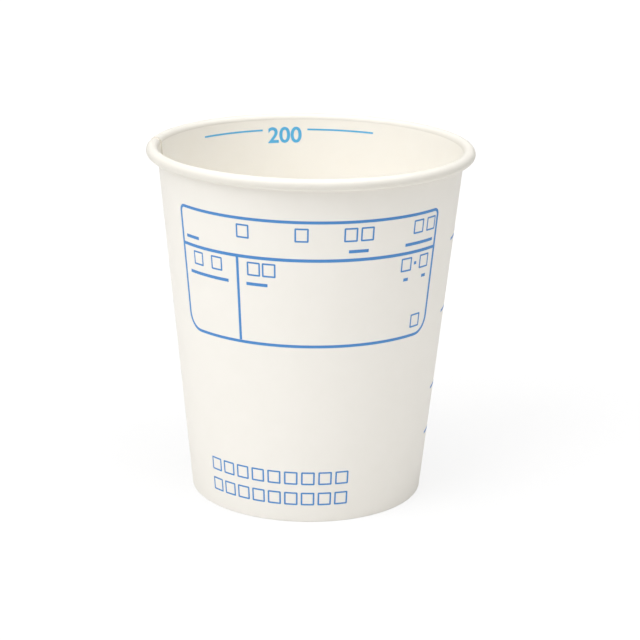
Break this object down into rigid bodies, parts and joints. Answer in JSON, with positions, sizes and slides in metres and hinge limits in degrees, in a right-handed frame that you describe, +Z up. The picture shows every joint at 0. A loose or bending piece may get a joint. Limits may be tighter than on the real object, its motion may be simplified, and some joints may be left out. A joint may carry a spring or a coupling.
{
  "type": "paper specimen cup",
  "caption": "Tapered paper specimen cup with a rolled rim, a lap seam, a recessed base disc, a blank patient form on the front and a volume scale.",
  "frame": {"origin": "centre of the ring that the cup stands on, at table level", "axes": "+Z up along the cup's axis, -Y out of the middle of the printed form"},
  "size_m": [0.073, 0.073, 0.0795],
  "materials": {
    "board": "satin",
    "ink": "satin",
    "inner_ink": "satin"
  },
  "bodies": {
    "root": {"sidewall": "board", "base_disc": "board", "outer_print": "ink", "inner_print": "inner_ink"}
  },
  "joints": []
}
